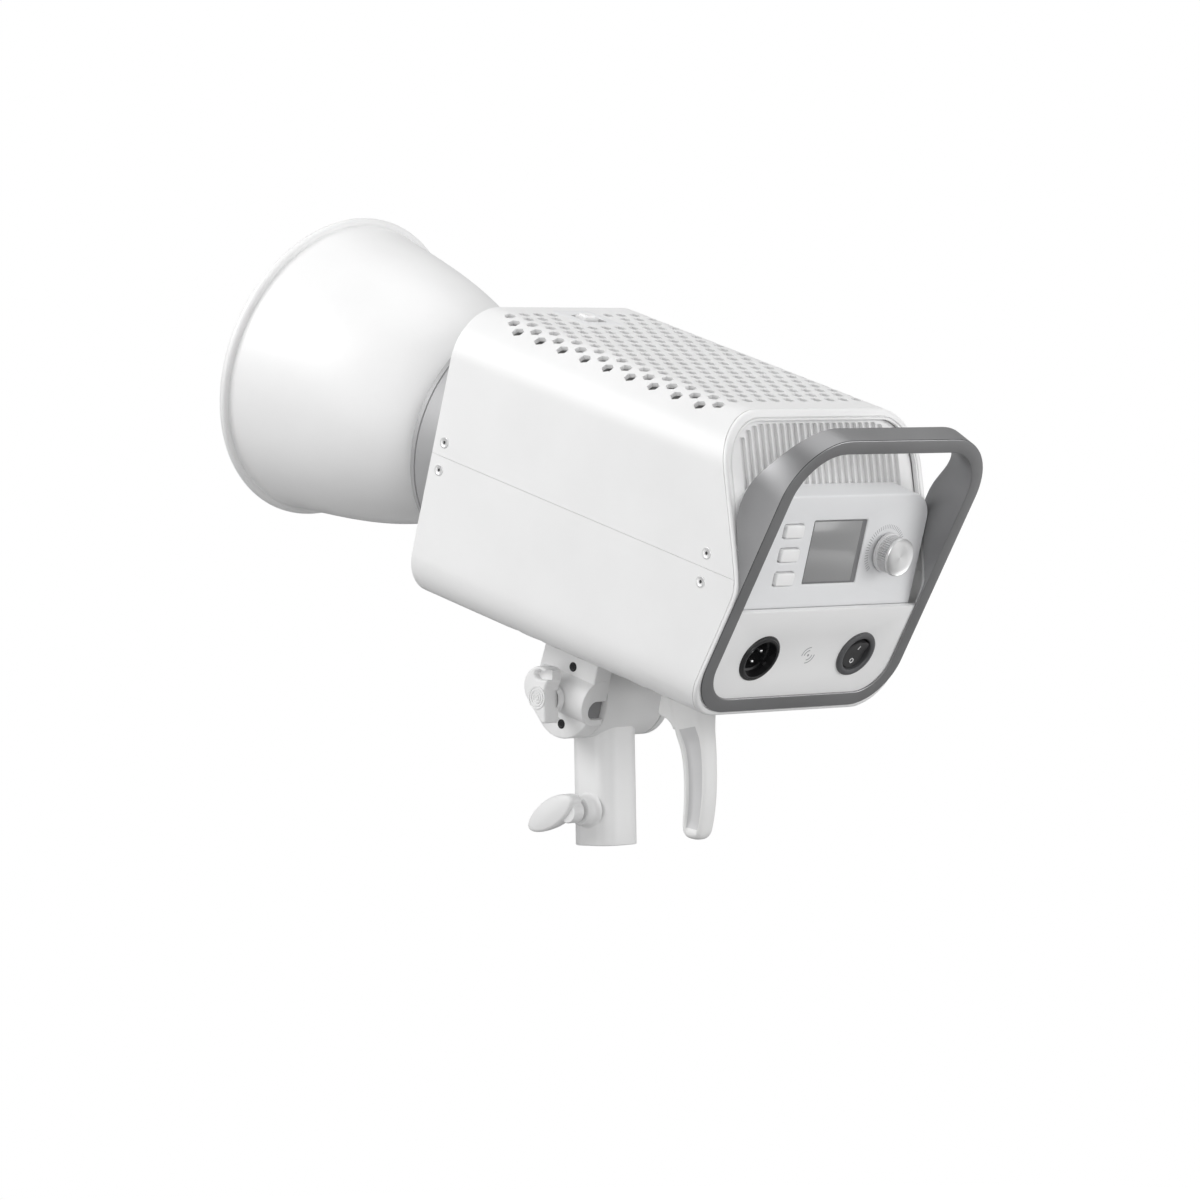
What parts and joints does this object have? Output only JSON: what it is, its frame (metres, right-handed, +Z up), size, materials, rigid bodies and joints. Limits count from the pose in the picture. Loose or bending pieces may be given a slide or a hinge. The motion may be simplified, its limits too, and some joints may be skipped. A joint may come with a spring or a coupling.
{
  "type": "studio monolight",
  "caption": "Studio light head with a bayonet reflector, rear controls, loop handle and a tilting stand bracket.",
  "frame": {"origin": "centre of the stand socket's mouth", "axes": "+Z up along the stand socket, lamp shines towards -Y, +X out of the side with the tilt lever"},
  "size_m": [0.18, 0.471, 0.3601],
  "materials": {
    "shell_white": "satin white",
    "bracket_white": "satin white paint on die casting",
    "grip_white": "satin white",
    "panel_grey": "satin light grey",
    "handle_grey": "satin mid grey",
    "ring_grey": "dark anodised",
    "bright_metal": "bright",
    "sink_metal": "extruded",
    "spun_metal": "spun",
    "screw_steel": "zinc plated",
    "black_steel": "black oxide",
    "key_white": "satin",
    "screen": "gloss",
    "dark_plastic": "matte",
    "black_plastic": "matte",
    "circuit": "solder mask",
    "phosphor": "matte",
    "brass_post": "turned",
    "rubber_washer": "matte"
  },
  "bodies": {
    "yoke": {"stand_yoke": "bracket_white", "tilt_washers": "rubber_washer"},
    "head": {"upper_housing": "shell_white", "lower_housing": "shell_white", "front_plate": "shell_white", "mount_ring": "ring_grey", "bayonet_plate": "bright_metal", "ring_screws": "screw_steel", "release_spring": "screw_steel", "rear_bezel": "shell_white", "rear_grille": "shell_white", "control_panel": "panel_grey", "connector_panel": "shell_white", "screen_glass": "screen", "screen_module": "dark_plastic", "control_board": "circuit", "dial_encoder": "bright_metal", "inlet_shell": "black_plastic", "inlet_insert": "black_plastic", "inlet_pins": "bright_metal", "switch_bezel": "dark_plastic", "loop_handle": "handle_grey", "handle_screws": "screw_steel", "side_screws": "screw_steel", "heat_sink": "sink_metal", "led_holder": "key_white", "led_emitter": "phosphor", "fan_frame": "black_plastic", "driver_board": "circuit", "board_posts": "brass_post", "tilt_bracket": "bracket_white", "base_screws": "screw_steel", "cover_screws": "black_steel", "grip_handle": "grip_white", "vent_liner": "dark_plastic", "grille_liner": "dark_plastic"},
    "clamp_lever": {"tilt_lever": "bracket_white", "tilt_bolt": "screw_steel"},
    "pad": {"pressure_pad": "bright_metal"},
    "stand_lock": {"lock_screw": "screw_steel", "lock_wing": "bracket_white"},
    "reflector": {"reflector_bowl": "shell_white", "reflector_collar": "bright_metal"},
    "mount_release": {"release_slider": "shell_white", "lock_pin": "screw_steel"},
    "button_top": {"upper_button": "key_white"},
    "button_mid": {"middle_button": "key_white"},
    "button_low": {"lower_button": "key_white"},
    "dial_spindle": {"dial_shaft": "screw_steel"},
    "dial": {"dial_knob": "key_white", "dial_cap": "spun_metal"},
    "rocker": {"power_rocker": "black_plastic"},
    "fan": {"fan_rotor": "dark_plastic"}
  },
  "joints": [
    {"name": "head_tilt", "type": "hinge", "parent": "yoke", "child": "head", "pos_m": [0, 0, 0.084], "axis": [1, 0, 0], "range_deg": [-32, 100]},
    {"name": "tilt_clamp", "type": "hinge", "parent": "head", "child": "clamp_lever", "pos_m": [0, 0, 0.084], "axis": [1, 0, 0], "range_deg": [-15, 120]},
    {"name": "pad_press", "type": "slide", "parent": "yoke", "child": "pad", "axis": [1, 0, 0], "range_m": [-0.0015, 0.00075]},
    {"name": "stand_lock_turn", "type": "hinge", "parent": "pad", "child": "stand_lock", "pos_m": [0, 0, 0.02], "axis": [1, 0, 0], "range_deg": [-360, 180]},
    {"name": "reflector_twist", "type": "hinge", "parent": "head", "child": "reflector", "pos_m": [0, -0.07922, 0.23248], "axis": [0, 0.9542, -0.299], "range_deg": [-35, 0]},
    {"name": "mount_release_slide", "type": "slide", "parent": "head", "child": "mount_release", "axis": [0, 0.9542, -0.299], "range_m": [0, 0.004], "stiffness_N_per_m": 400, "springref_m": -0.003},
    {"name": "button_top_press", "type": "slide", "parent": "head", "child": "button_top", "axis": [0, -0.9542, 0.299], "range_m": [0, 0.0008], "stiffness_N_per_m": 600, "springref_m": -0.001},
    {"name": "button_mid_press", "type": "slide", "parent": "head", "child": "button_mid", "axis": [0, -0.9542, 0.299], "range_m": [0, 0.0008], "stiffness_N_per_m": 600, "springref_m": -0.001},
    {"name": "button_low_press", "type": "slide", "parent": "head", "child": "button_low", "axis": [0, -0.9542, 0.299], "range_m": [0, 0.0008], "stiffness_N_per_m": 600, "springref_m": -0.001},
    {"name": "dial_press", "type": "slide", "parent": "head", "child": "dial_spindle", "axis": [0, -0.9542, 0.299], "range_m": [0, 0.001], "stiffness_N_per_m": 600, "springref_m": -0.001},
    {"name": "dial_turn", "type": "hinge", "parent": "dial_spindle", "child": "dial", "pos_m": [-0.0405, 0.17703, 0.16402], "axis": [0, 0.9542, -0.299], "continuous": true},
    {"name": "rocker_swing", "type": "hinge", "parent": "head", "child": "rocker", "pos_m": [-0.039, 0.15388, 0.10888], "axis": [1, 0, 0], "range_deg": [0, 18]},
    {"name": "fan_spin", "type": "hinge", "parent": "head", "child": "fan", "pos_m": [0, 0.0601, 0.18882], "axis": [0, 0.9542, -0.299], "continuous": true}
  ],
  "couplings": [
    {"joint": "pad_press", "follows": "stand_lock_turn", "m_per_rad": 0.00023873}
  ]
}
